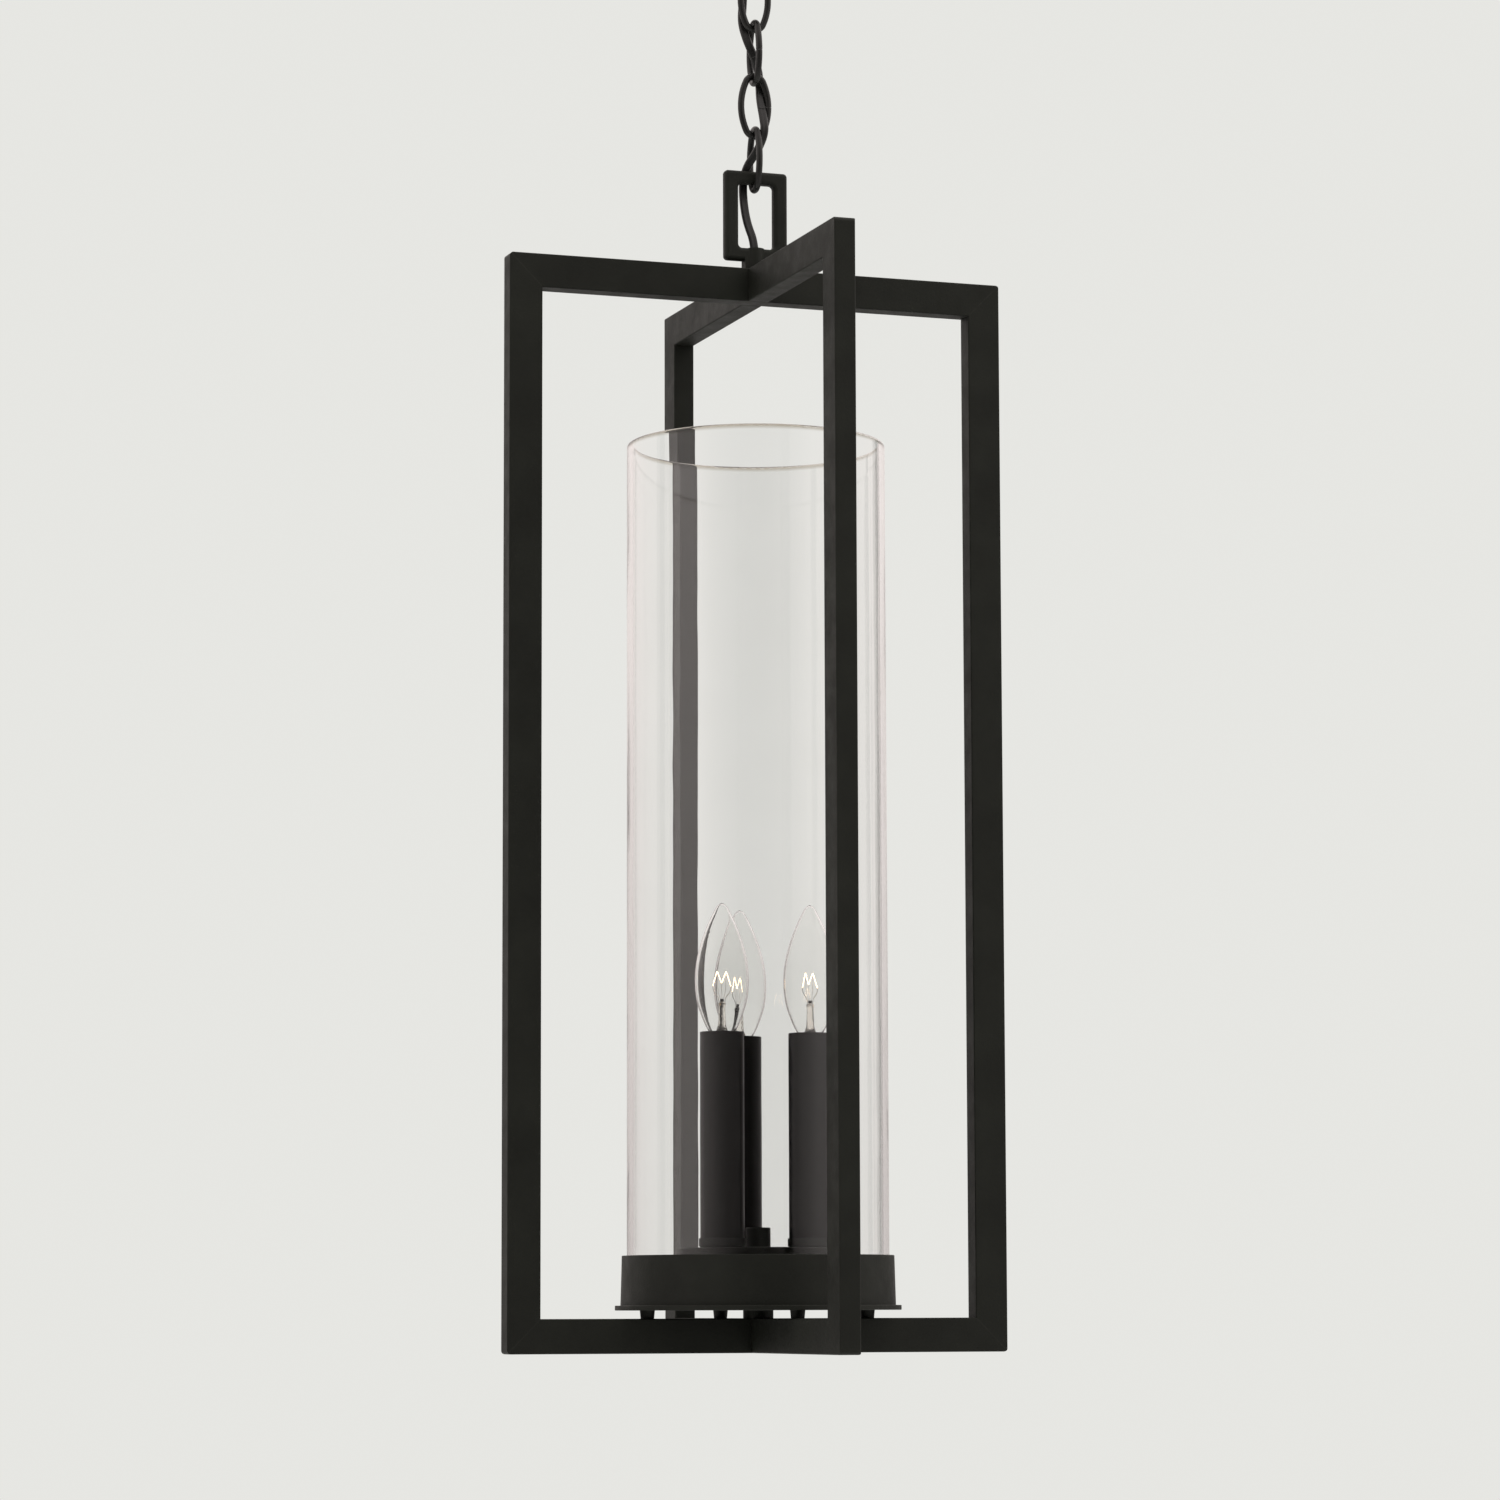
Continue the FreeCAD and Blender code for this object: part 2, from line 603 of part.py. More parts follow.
def make_top_loop():
    """Cast loop with rounded edges, a neck and a boss that the cord enters."""
    width = dim("loop_width")
    foot = dim("loop_foot")
    top = dim("loop_top")
    bar = dim("loop_bar")
    side = dim("loop_side")
    thick = dim("loop_thick")
    block = Part.makeBox(width, thick, top - foot, FreeCAD.Vector(-width / 2, -thick / 2, foot))
    window = Part.makeBox(width - 2 * side, 2 * thick, top - foot - 2 * bar,
                          FreeCAD.Vector(-width / 2 + side, -thick, foot + bar))
    ring = block.cut(window)
    ring = ring.makeFillet(dim("loop_round"), ring.Edges)
    neck = Part.makeBox(dim("neck_width"), thick, foot + bar / 2 - dim("frame_height"),
                        FreeCAD.Vector(-dim("neck_width") / 2, -thick / 2, dim("frame_height")))
    boss = Part.makeCylinder(dim("boss_radius"), dim("boss_top") - dim("frame_height"),
                             FreeCAD.Vector(0, 0, dim("frame_height")))
    bore = Part.makeCylinder(dim("boss_bore"), 60, FreeCAD.Vector(0, 0, dim("frame_height") - 5))
    seat = Part.makeCylinder(dim("nipple_hole"), 9, FreeCAD.Vector(0, 0, dim("frame_height") - 4))
    body = ring.fuse([neck, boss]).cut(bore).cut(seat).removeSplitter()
    finish(shaped("TopLoop", body), "top_loop", level=LANTERN)
    top_face = "Dim.frame_height"
    finish(turned("Bushing", [("2.7", top_face + " - 5.5"), ("Dim.nipple_radius", top_face + " - 5.5"),
                              ("Dim.nipple_radius", top_face + " + 5"), ("2.7", top_face + " + 5")]),
           "cord_bushing", level=LANTERN)


# Hand-set course of the cord from the boss of the top loop, woven through the chain, up to
# the canopy; millimetres from the frame's foot.
CORD_ROUTE = [
    (0.0, 0.0, 655.0),
    (0.0, 0.0, 668.8),
    (-4.4, 2.4, 682.0),
    (-5.6, 5.4, 696.0),
    (-5.3, 7.2, 708.9),
    (-3.2, 5.1, 718.4),
    (1.5, -0.3, 726.3),
    (5.0, -5.3, 737.6),
    (4.3, -2.9, 748.4),
    (4.2, 1.9, 759.0),
    (5.0, 5.2, 769.2),
    (3.7, 3.5, 778.4),
    (-0.5, 0.7, 786.3),
    (-4.6, 2.2, 796.7),
    (-6.5, 5.4, 807.8),
    (-5.6, 5.4, 820.0),
    (-5.1, 5.3, 833.0),
    (-5.5, 5.5, 845.9),
    (-5.5, 5.5, 858.0),
    (-5.2, 5.5, 869.2),
    (-3.1, 2.7, 880.0),
    (0.0, 0.0, 891.5),
    (0.0, 0.0, 907.0),
]

# The same conductors inside the frame's tubes: along the top bar, down the right leg, back
# along the bottom bar and up the threaded tube.
FRAME_WIRE_ROUTE = [
    (0.0, 0.0, 655.0),
    (0.0, 0.0, 640.0),
    (146.5, 0.0, 640.0),
    (146.5, 0.0, 10.0),
    (0.0, 0.0, 10.0),
    (0.0, 0.0, 43.0),
    (12.0, 0.0, 43.0),
]


def make_cord():
    radius = dim("cord_radius")
    finish(shaped("Cord", tube(CORD_ROUTE, radius, "supply cord")), "supply_cord", level=LANTERN)
    inside = tube(FRAME_WIRE_ROUTE, radius, "frame wire", bend=6.5)
    finish(shaped("FrameWire", inside), "frame_wire", level=LANTERN)


# ---------------------------------------------------------------- glass and its holder

def make_holder():
    foot = "Dim.flange_foot"
    floor = "Dim.flange_top"
    rim = "Dim.cup_rim"
    rim_radius = "Dim.cup_rim_radius"
    ring = "Dim.spacer_ring"
    cup = turned("Cup", [("Dim.nipple_hole", foot), ("Dim.flange_radius", foot), ("Dim.flange_radius", floor),
                         ("Dim.cup_foot_radius", floor), (rim_radius, rim),
                         (rim_radius + " - Dim.cup_wall", rim), ("Dim.cup_foot_radius - Dim.cup_wall", floor),
                         ("Dim.nipple_hole", floor)],
                 holes=[(ring, "0", "Dim.screw_hole"), ("-" + ring, "0", "Dim.screw_hole"),
                        ("0", ring, "Dim.screw_hole"), ("0", "-" + ring, "Dim.screw_hole")])
    round_edges(cup, "Dim.cup_round", is_cup_rim)
    finish(cup, "glass_holder_cup", level=LANTERN)
    outside = "Dim.glass_radius"
    inside = "Dim.glass_radius - Dim.glass_wall"
    felt_top = floor + " + Dim.gasket_thick"
    felt = turned("Gasket", [(inside + " - 0.6", floor), (outside + " + 0.6", floor),
                             (outside + " + 0.6", felt_top), (inside + " - 0.6", felt_top)])
    finish(felt, "glass_gasket", level=LANTERN)
    glass = turned("Glass", [(inside, "Dim.glass_foot"), (outside, "Dim.glass_foot"),
                             (outside, "Dim.glass_top"), (inside, "Dim.glass_top")])
    middle = (dim("glass_foot") + dim("glass_top")) / 2
    for radius, at_top in (("Dim.glass_rim_round", True), ("Dim.glass_foot_round", False)):
        round_edges(glass, radius, lambda edge: edge.BoundBox.ZLength < 0.1
                    and (edge.BoundBox.ZMin > middle) == at_top)
    finish(glass, "glass_cylinder", level=LANTERN)


def is_cup_rim(edge):
    """True for the edges of the cup's rim and of its floor disc."""
    level = edge.BoundBox.ZMin
    radius = edge.BoundBox.XLength / 2
    flat = edge.BoundBox.ZLength < 0.01
    return flat and (abs(level - dim("cup_rim")) < 0.01 or abs(radius - dim("flange_radius")) < 0.01)


def make_spacers():
    ways = ((1, 0), (-1, 0), (0, 1), (0, -1))
    spacers = []
    screws = []
    for number, (way_x, way_y) in enumerate(ways):
        across = "%d * Dim.spacer_ring" % way_x
        along = "%d * Dim.spacer_ring" % way_y
        cone = doc.addObject("Part::Cone", "Spacer%d" % number)
        cone.setExpression("Radius1", "Dim.spacer_foot_radius")
        cone.setExpression("Radius2", "Dim.spacer_top_radius")
        cone.setExpression("Height", "Dim.flange_foot - Dim.bar_width")
        cone.setExpression("Placement.Base.x", across)
        cone.setExpression("Placement.Base.y", along)
        cone.setExpression("Placement.Base.z", "Dim.bar_width")
        spacers.append(minus("Bored%d" % number, cone,
                             cylinder("Bore", "Dim.screw_hole", "20", across, along,
                                      "Dim.bar_width - 5")))
        head = cylinder("Head%d" % number, "3.1", "1.6", across, along, "Dim.flange_top")
        shank = cylinder("Shank%d" % number, "Dim.screw_radius", "Dim.screw_long", across, along,
                         "Dim.flange_top - Dim.screw_long")
        screws.append(fused("Screw%d" % number, head, shank))
    finish(compound("Spacers", spacers), "holder_spacers", level=LANTERN)
    finish(compound("Screws", screws), "spacer_screws", level=LANTERN)


def candle_places():
    """Expressions for the three candle axes, one behind and two in front."""
    return [("0", "Dim.candle_ring"),
            ("-Dim.candle_ring * cos(30)", "-Dim.candle_ring / 2"),
            ("Dim.candle_ring * cos(30)", "-Dim.candle_ring / 2")]


def make_pan():
    top = "Dim.pan_top"
    outside = "Dim.pan_radius"
    inside = "Dim.pan_radius - Dim.pan_wall"
    under = "Dim.pan_top - Dim.pan_wall"
    holes = [(x, y, "Dim.nipple_hole") for x, y in candle_places()]
    pan = turned("Pan", [("Dim.nipple_hole", top), (outside, top), (outside, "Dim.flange_top"),
                         (inside, "Dim.flange_top"), (inside, under), ("Dim.nipple_hole", under)],
                 holes=holes)
    round_edges(pan, "0.9", lambda edge: abs(edge.BoundBox.ZMin - dim("pan_top")) < 0.01
                and edge.BoundBox.XLength > dim("pan_radius"))
    finish(pan, "candle_pan", level=LANTERN)


def make_hub():
    bore = "Dim.nipple_hole"
    foot = "Dim.bar_width"
    seat = "Dim.flange_foot"
    finish(turned("HubCollar", [(bore, foot), ("Dim.hub_radius", foot), ("Dim.hub_radius", seat),
                                (bore, seat)]), "hub_collar", level=LANTERN)
    low = "Dim.bar_width - 3"
    high = "Dim.pan_top + 7.5"
    stem = turned("HubTube", [("Dim.nipple_bore", low), ("Dim.nipple_radius", low),
                              ("Dim.nipple_radius", high), ("Dim.nipple_bore", high)])
    window = doc.addObject("Part::Box", "WireWindow")
    window.setExpression("Length", "8")
    window.setExpression("Width", "Dim.window_width")
    window.setExpression("Height", "14")
    window.setExpression("Placement.Base.y", "-Dim.window_width / 2")
    window.setExpression("Placement.Base.z", "35")
    finish(minus("HubStem", stem, window), "hub_nipple", level=LANTERN)
    finish(nut("HubNut", level="Dim.flange_top"), "hub_locknut", level=LANTERN)
    pan = "Dim.pan_top"
    cap = turned("HubCap", [("0", pan + " + 8"), (bore, pan + " + 8"), (bore, pan), ("7.5", pan),
                            ("7.5", pan + " + 11.5"), ("7.0", pan + " + 12"), ("0", pan + " + 12")])
    finish(cap, "hub_cap", level=LANTERN)


# Leads from the joint under the pan to the three candles, set by hand inside the pan.
SOCKET_LEAD_ROUTES = [
    [(30.0, 2.4, 43.0), (36.0, 5.0, 43.0), (33.0, 17.0, 40.0), (20.0, 31.0, 38.0), (6.0, 36.0, 40.0),
     (0.0, 32.0, 47.0), (0.0, 32.0, 56.5)],
    [(30.0, -2.2, 44.6), (37.0, -5.0, 42.0), (38.0, -14.0, 35.0), (26.0, -30.0, 33.0), (5.0, -37.0, 34.0),
     (-16.0, -34.0, 37.0), (-27.0, -25.0, 41.0), (-27.713, -16.0, 48.0), (-27.713, -16.0, 56.5)],
    [(30.0, -2.2, 41.0), (34.0, -6.0, 43.0), (32.5, -12.0, 46.0), (27.713, -16.0, 51.0),
     (27.713, -16.0, 56.5)],
]


def make_pan_wiring():
    cap = Part.makeCone(5.4, 5.0, 18, FreeCAD.Vector(12, 0, 43), FreeCAD.Vector(1, 0, 0))
    finish(shaped("Joint", cap), "pan_connector", level=LANTERN)
    leads = []
    for number, route in enumerate(SOCKET_LEAD_ROUTES):
        leads.append(shaped("Lead%d" % number, tube(route, dim("lead_radius"), "socket lead")))
    finish(compound("Leads", leads), "socket_leads", level=LANTERN)


# ---------------------------------------------------------------- candles and lamps

def lamp_outline(wall):
    """Torpedo lamp outside, or inside when wall is above zero, from neck to tip."""
    neck = dim("candle_top")
    high = dim("lamp_high")
    widest = dim("lamp_radius")
    shape = [(0.38, -0.022), (0.54, 0.02), (0.72, 0.10), (0.91, 0.22), (1.0, 0.37),
             (0.955, 0.53), (0.76, 0.70), (0.49, 0.85), (0.265, 0.945), (0.15, 0.981)]
    points = [FreeCAD.Vector(widest * across - wall, 0, neck + high * up) for across, up in shape]
    points.append(FreeCAD.Vector(0, 0, neck + high - wall))
    curve = Part.BSplineCurve()
    curve.interpolate(points)
    return curve


def make_lamp_glass():
    outer = lamp_outline(0.0)
    inner = lamp_outline(dim("lamp_wall"))
    mouth = Part.LineSegment(inner.StartPoint, outer.StartPoint)
    tip = Part.LineSegment(outer.EndPoint, inner.EndPoint)
    outline = Part.Wire([outer.toShape(), tip.toShape(), inner.toShape(), mouth.toShape()])
    return Part.Face(outline).revolve(FreeCAD.Vector(0, 0, 0), FreeCAD.Vector(0, 0, 1), 360)


def make_candles():
    """Cup, sleeve, post, socket and lamp of each candle."""
    glass = make_lamp_glass()
    posts = []
    nuts = []
    for number, (x, y) in enumerate(candle_places(), start=1):
        name = "candle_%d_" % number
        finish(make_base_cup(), name + "base_cup", x, y, LANTERN)
        finish(make_sleeve(), name + "sleeve", x, y, LANTERN)
        finish(make_socket(), name + "socket", x, y, LANTERN)
        finish(shaped("Bulb", glass.copy()), name + "bulb_glass", x, y, LANTERN)
        finish(make_screw_cap(), name + "bulb_cap", x, y, LANTERN)
        foot = "Dim.socket_top + 0.2"
        stem = turned("Stem", [("0", foot), ("4.2", foot), ("2.4", "Dim.candle_top + 4"),
                               ("1.9", "Dim.candle_top + 14"), ("2.3", "Dim.candle_top + 17"),
                               ("0", "Dim.candle_top + 18.5")])
        finish(stem, name + "bulb_stem", x, y, LANTERN)
        posts.append(make_post(x, y))
        nuts.append(nut("PostNut", x, y, "Dim.pan_top - Dim.pan_wall - Dim.nut_thick"))
    finish(compound("Posts", posts), "candle_posts", level=LANTERN)
    finish(compound("PostNuts", nuts), "post_nuts", level=LANTERN)


def make_base_cup():
    floor = "Dim.pan_top"
    seat = "Dim.pan_top + 1"
    rim = "Dim.pan_top + Dim.base_high"
    inside = "Dim.candle_radius + 0.1"
    return turned("Base", [("Dim.nipple_hole", floor), ("Dim.base_radius - 1", floor),
                           ("Dim.base_radius", seat), ("Dim.base_radius", rim), (inside, rim),
                           (inside, seat), ("Dim.nipple_hole", seat)])


def make_sleeve():
    foot = "Dim.pan_top + 1"
    top = "Dim.candle_top"
    inside = "Dim.candle_radius - Dim.sleeve_wall"
    sleeve = turned("Sleeve", [(inside, foot), ("Dim.candle_radius", foot), ("Dim.candle_radius", top),
                               (inside, top)])
    round_edges(sleeve, "0.4", lambda edge: abs(edge.BoundBox.ZMin - dim("candle_top")) < 0.01)
    return sleeve


def make_socket():
    """Phenolic socket on the post, with the screw shell's bore above its solid middle."""
    foot = "Dim.post_top - 4"
    post_seat = "Dim.post_top + 1"
    shell_foot = "Dim.post_top + 17"
    return turned("Socket", [("Dim.nipple_hole", foot), ("8", foot), ("8", "Dim.post_top + 6"),
                             ("Dim.socket_radius", "Dim.post_top + 8"),
                             ("Dim.socket_radius", "Dim.socket_top"), ("Dim.socket_bore", "Dim.socket_top"),
                             ("Dim.socket_bore", shell_foot), ("0", shell_foot), ("0", post_seat),
                             ("Dim.nipple_hole", post_seat)])


def make_screw_cap():
    top = "Dim.socket_top + 0.2"
    return turned("Cap", [("0", "Dim.socket_top - 26"), ("2", "Dim.socket_top - 26"),
                          ("2.6", "Dim.socket_top - 24"), ("Dim.cap_radius - 0.9", "Dim.socket_top - 22"),
                          ("Dim.cap_radius", "Dim.socket_top - 20.5"), ("Dim.cap_radius", top), ("0", top)])


def make_post(x, y):
    length = "Dim.post_top - Dim.pan_top + 5"
    outside = cylinder("PostRod", "Dim.nipple_radius", length, x, y, "Dim.pan_top - 5")
    bore = cylinder("PostBore", "Dim.nipple_bore", length, x, y, "Dim.pan_top - 5")
    return minus("Post", outside, bore)


make_ceiling_fittings()
make_canopy_wiring()
make_chain()
make_frame()
make_top_loop()
make_cord()
make_holder()
make_spacers()
make_pan()
make_hub()
make_pan_wiring()
make_candles()

doc.recompute()
for item in doc.Objects:
    if "Invalid" in item.State or "Error" in item.State:
        raise RuntimeError("%s did not build: %s" % (item.Label, item.State))
for piece in subparts:
    if piece.Shape.isNull() or not piece.Shape.isValid():
        raise RuntimeError("%s has no valid shape" % piece.Label)

os.makedirs("parts", exist_ok=True)
for piece in subparts:
    piece.Shape.exportStep("parts/%s.step" % piece.Label)
    print("%-26s solids %d volume %.1f" % (piece.Label, len(piece.Shape.Solids), piece.Shape.Volume))
print("sub-parts", len(subparts))
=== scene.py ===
"""Looks of the hanging lantern: finishes for every CAD piece, the twin cord woven through
the chain, the lamps' filaments, and a pale studio round them.  Metres, +Z up; the origin
is in the plane of the ceiling."""
import json
import math

import bpy
from mathutils import Matrix, Vector


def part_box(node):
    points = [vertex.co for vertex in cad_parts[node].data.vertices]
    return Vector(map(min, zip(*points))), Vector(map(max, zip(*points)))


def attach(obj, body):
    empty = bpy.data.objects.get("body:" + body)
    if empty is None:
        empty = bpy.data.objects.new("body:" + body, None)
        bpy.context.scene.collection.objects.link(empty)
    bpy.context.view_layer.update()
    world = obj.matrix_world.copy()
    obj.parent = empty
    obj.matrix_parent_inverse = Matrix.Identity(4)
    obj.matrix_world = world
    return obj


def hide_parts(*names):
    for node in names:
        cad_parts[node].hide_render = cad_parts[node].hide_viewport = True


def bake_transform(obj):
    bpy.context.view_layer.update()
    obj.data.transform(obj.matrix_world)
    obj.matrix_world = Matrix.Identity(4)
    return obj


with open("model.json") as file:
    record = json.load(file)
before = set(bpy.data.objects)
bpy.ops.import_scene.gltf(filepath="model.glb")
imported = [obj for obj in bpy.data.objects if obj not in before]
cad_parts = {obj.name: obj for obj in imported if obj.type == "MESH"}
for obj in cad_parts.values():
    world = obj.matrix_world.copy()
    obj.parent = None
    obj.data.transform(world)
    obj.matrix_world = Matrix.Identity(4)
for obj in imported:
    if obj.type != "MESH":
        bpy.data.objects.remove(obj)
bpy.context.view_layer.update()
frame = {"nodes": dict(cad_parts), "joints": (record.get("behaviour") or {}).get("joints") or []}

MM = 0.001
nodes = frame["nodes"]
frame_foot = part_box("frame_a_left_leg")[0].z
frame_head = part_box("frame_a_left_leg")[1].z


# ---------------------------------------------------------------- small helpers

def link_object(name, data):
    made = bpy.data.objects.new(name, data)
    bpy.context.scene.collection.objects.link(made)
    return made


def mesh_object(name, points, faces, material, smooth=True):
    data = bpy.data.meshes.new(name)
    data.from_pydata([tuple(point) for point in points], [], faces)
    data.polygons.foreach_set("use_smooth", [smooth] * len(data.polygons))
    data.materials.append(material)
    data.update()
    return link_object(name, data)


def spline_points(points, steps=12):
    """Points along the NURBS curve that has these control points."""
    curve = bpy.data.curves.new("route", "CURVE")
    curve.dimensions = "3D"
    curve.resolution_u = steps
    spline = curve.splines.new("NURBS")
    spline.points.add(len(points) - 1)
    for knot, point in zip(spline.points, points):
        knot.co = (*point, 1.0)
    spline.order_u = 3
    spline.use_endpoint_u = True
    holder = link_object("route", curve)
    bpy.context.view_layer.update()
    line_mesh = bpy.data.meshes.new_from_object(holder)
    line = [vertex.co.copy() for vertex in line_mesh.vertices]
    bpy.data.objects.remove(holder)
    bpy.data.meshes.remove(line_mesh)
    return line


def frames_along(line, start_across):
    """Tangent, across and out vectors at each point, carried along without twist."""
    tangents = []
    for index in range(len(line)):
        before = line[max(index - 1, 0)]
        after = line[min(index + 1, len(line) - 1)]
        tangents.append((after - before).normalized())
    across = Vector(start_across)
    result = []
    for tangent in tangents:
        across = (across - tangent * across.dot(tangent)).normalized()
        result.append((tangent, across, tangent.cross(across)))
    return result


def sweep(line, frames, section):
    """Points and faces of a closed tube whose section is (across, out) offsets."""
    points = []
    for place, (_, across, out) in zip(line, frames):
        points.extend(place + across * x + out * y for x, y in section)
    count = len(section)
    faces = []
    for ring in range(len(line) - 1):
        for side in range(count):
            here = ring * count + side
            beside = ring * count + (side + 1) % count
            faces.append((here, beside, beside + count, here + count))
    faces.append(tuple(reversed(range(count))))
    last = (len(line) - 1) * count
    faces.append(tuple(range(last, last + count)))
    return points, faces


def circle_section(radius, sides):
    turn = 2 * math.pi / sides
    return [(radius * math.cos(turn * i), radius * math.sin(turn * i)) for i in range(sides)]


def wire(name, line, radius, material, sides=8):
    """Round wire along a line; the first ring is squared to X, or to Y where the line runs along X."""
    first_way = (line[1] - line[0]).normalized()
    start = (1, 0, 0) if abs(first_way.x) < 0.9 else (0, 1, 0)
    points, faces = sweep(line, frames_along(line, start), circle_section(radius, sides))
    return mesh_object(name, points, faces, material)


# ---------------------------------------------------------------- material helpers

# Places of the colour sockets on a Mix node.
COLOUR_A = 6
COLOUR_B = 7
COLOUR_RESULT = 2


def new_material(name):
    made = bpy.data.materials.new(name)
    made.use_nodes = True
    return made, made.node_tree, made.node_tree.nodes["Principled BSDF"]


def noise(tree, scale, detail=3.0, stretch=(1.0, 1.0, 1.0)):
    """Noise over the object's own metres; scale is in waves to the metre."""
    coords = tree.nodes.new("ShaderNodeTexCoord")
    mapping = tree.nodes.new("ShaderNodeMapping")
    mapping.inputs["Scale"].default_value = stretch
    texture = tree.nodes.new("ShaderNodeTexNoise")
    texture.inputs["Scale"].default_value = scale
    texture.inputs["Detail"].default_value = detail
    tree.links.new(coords.outputs["Object"], mapping.inputs["Vector"])
    tree.links.new(mapping.outputs["Vector"], texture.inputs["Vector"])
    return texture.outputs["Fac"]


def spread(tree, value, low, high, start=0.3, end=0.7):
    """A value's stretch from start to end, turned into low to high; start and end suit noise."""
    node = tree.nodes.new("ShaderNodeMapRange")
    node.inputs["From Min"].default_value = start
    node.inputs["From Max"].default_value = end
    node.inputs["To Min"].default_value = low
    node.inputs["To Max"].default_value = high
    tree.links.new(value, node.inputs["Value"])
    return node.outputs["Result"]


def calculate(tree, operation, first, second):
    """One step of arithmetic on an output, with another output or a number."""
    node = tree.nodes.new("ShaderNodeMath")
    node.operation = operation
    tree.links.new(first, node.inputs[0])
    if isinstance(second, float):
        node.inputs[1].default_value = second
    else:
        tree.links.new(second, node.inputs[1])
    return node.outputs["Value"]


def blend_colours(tree, factor, dark, light):
    node = tree.nodes.new("ShaderNodeMix")
    node.data_type = "RGBA"
    tree.links.new(factor, node.inputs["Factor"])
    for place, colour in ((COLOUR_A, dark), (COLOUR_B, light)):
        if isinstance(colour, tuple):
            node.inputs[place].default_value = (*colour, 1.0)
        else:
            tree.links.new(colour, node.inputs[place])
    return node.outputs[COLOUR_RESULT]


def add_bump(tree, shader, value, distance, strength=1.0, under=None):
    """Bump on the shader, over another bump where one is given."""
    node = tree.nodes.new("ShaderNodeBump")
    node.inputs["Strength"].default_value = strength
    node.inputs["Distance"].default_value = distance
    tree.links.new(value, node.inputs["Height"])
    if under is not None:
        tree.links.new(under, node.inputs["Normal"])
    tree.links.new(node.outputs["Normal"], shader.inputs["Normal"])
    return node.outputs["Normal"]


def painted_edge_highlight(tree, radius):
    """Mask for a painted highlight: 1 along the piece's corners and 0 on its flats, broken up by noise.
    """
    bevel = tree.nodes.new("ShaderNodeBevel")
    bevel.samples = 4
    bevel.inputs["Radius"].default_value = radius
    geometry = tree.nodes.new("ShaderNodeNewGeometry")
    dot = tree.nodes.new("ShaderNodeVectorMath")
    dot.operation = "DOT_PRODUCT"
    tree.links.new(bevel.outputs["Normal"], dot.inputs[0])
    tree.links.new(geometry.outputs["Normal"], dot.inputs[1])
    mask = spread(tree, dot.outputs["Value"], 1.0, 0.0, start=0.80, end=0.99)
    patchy = spread(tree, noise(tree, 240.0), 0.25, 1.0)
    return calculate(tree, "MULTIPLY", mask, patchy)


def coated(name, dark, light, edge_highlight, rough, grain, depth, specular, highlight_radius=0.8 * MM):
    """Painted or powder-coated metal: mottled colour, fine grain, and corners lightened with a painted
    highlight.
    """
    made, tree, shader = new_material(name)
    mottle = blend_colours(tree, spread(tree, noise(tree, 34.0), 0.0, 1.0), dark, light)
    # Painted highlight: the corners are blended towards the lighter corner colour.
    tree.links.new(blend_colours(tree, painted_edge_highlight(tree, highlight_radius), mottle, edge_highlight), shader.inputs["Base Color"])
    tree.links.new(spread(tree, noise(tree, 90.0, 4.0), *rough), shader.inputs["Roughness"])
    shader.inputs["Specular IOR Level"].default_value = specular
    coarse = add_bump(tree, shader, noise(tree, grain * 0.3), depth * 1.6, 0.5)
    add_bump(tree, shader, noise(tree, grain, 2.0), depth, 0.8, coarse)
    return made


def metal(name, dark, light, rough, scratch):
    """Plated metal with fine draw marks along Z."""
    made, tree, shader = new_material(name)
    shader.inputs["Metallic"].default_value = 1.0
    tree.links.new(blend_colours(tree, spread(tree, noise(tree, 120.0), 0.0, 1.0), dark, light),
                   shader.inputs["Base Color"])
    streaks = noise(tree, scratch, 3.0, (1.0, 1.0, 0.06))
    tree.links.new(spread(tree, streaks, *rough), shader.inputs["Roughness"])
    add_bump(tree, shader, streaks, 0.03 * MM, 0.5)
    return made


def plastic(name, dark, light, rough, grain=900.0, depth=0.04 * MM, specular=0.4):
    """Moulded plastic or rubber with a faint grain."""
    made, tree, shader = new_material(name)
    tree.links.new(blend_colours(tree, spread(tree, noise(tree, 70.0), 0.0, 1.0), dark, light),
                   shader.inputs["Base Color"])
    tree.links.new(spread(tree, noise(tree, 160.0), *rough), shader.inputs["Roughness"])
    shader.inputs["Specular IOR Level"].default_value = specular
    add_bump(tree, shader, noise(tree, grain), depth, 0.6)
    return made


def clear(name, tint, smudged, rough, wave, stretch, depth, index):
    """Clear glass with faint smudges and the slow waves of drawn or blown glass."""
    made, tree, shader = new_material(name)
    shader.inputs["Transmission Weight"].default_value = 1.0
    shader.inputs["IOR"].default_value = index
    tree.links.new(blend_colours(tree, spread(tree, noise(tree, 18.0), 0.0, 1.0), tint, smudged),
                   shader.inputs["Base Color"])
    smudges = spread(tree, noise(tree, 45.0, 5.0), *rough, start=0.45, end=0.75)
    tree.links.new(smudges, shader.inputs["Roughness"])
    add_bump(tree, shader, noise(tree, wave, 2.0, stretch), depth)
    return made


# ---------------------------------------------------------------- finishes
# Colours are linear, and a coated finish's lighter corner colour is a painted highlight; rough is the
# range of roughness; grain and wave are in waves to the metre.

def powder_black():
    return coated("powder_black", dark=(0.0088, 0.0096, 0.0073), light=(0.0132, 0.0144, 0.0110),
                  edge_highlight=(0.026, 0.026, 0.022), rough=(0.50, 0.62), grain=1900.0, depth=0.12 * MM,
                  specular=0.20)


def chain_black():
    return coated("chain_black", dark=(0.006, 0.006, 0.0055), light=(0.011, 0.011, 0.010),
                  edge_highlight=(0.05, 0.048, 0.043), rough=(0.30, 0.44), grain=1500.0, depth=0.06 * MM,
                  specular=0.42, highlight_radius=0.6 * MM)


def sleeve_black():
    return coated("sleeve_black", dark=(0.0032, 0.0028, 0.0025), light=(0.0046, 0.0040, 0.0035),
                  edge_highlight=(0.010, 0.009, 0.008), rough=(0.34, 0.42), grain=2400.0, depth=0.0015 * MM,
                  specular=0.13)


